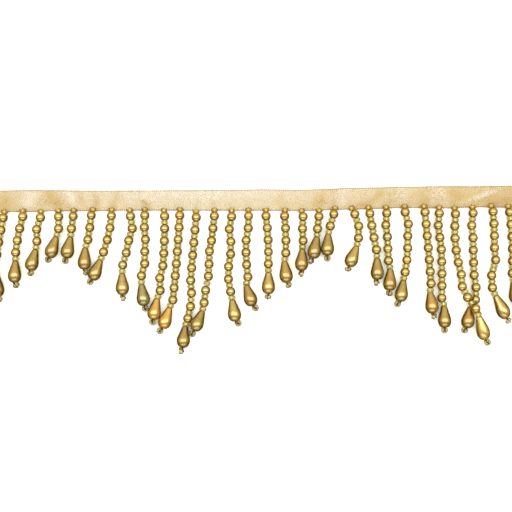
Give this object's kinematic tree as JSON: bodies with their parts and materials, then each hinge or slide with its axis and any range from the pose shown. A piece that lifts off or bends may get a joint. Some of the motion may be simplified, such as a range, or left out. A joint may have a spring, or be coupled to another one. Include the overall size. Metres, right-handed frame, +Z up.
{
  "type": "beaded fringe trim on satin ribbon",
  "caption": "Cut length of narrow satin ribbon, lying flat, edged with strands of gold round and seed beads that end in teardrop beads and grow longer and shorter in scallops.",
  "frame": {"origin": "middle of the ribbon's back face, on the surface that the trim lies on", "axes": "+X along the ribbon, +Y across it and away from the bead fringe, +Z up out of the ribbon's front face"},
  "size_m": [0.2552, 0.0808, 0.0081],
  "materials": {
    "satin": "cream satin weave with a soft sheen",
    "gold_beads": "satin metallic gold, toned darker in places",
    "seed_glass": "clear yellow glass with a bright lining",
    "thread": "fine twisted beading thread"
  },
  "bodies": {
    "root": {"ribbon": "satin", "fringe_left": "gold_beads", "fringe_middle": "gold_beads", "fringe_right": "gold_beads"}
  },
  "joints": []
}
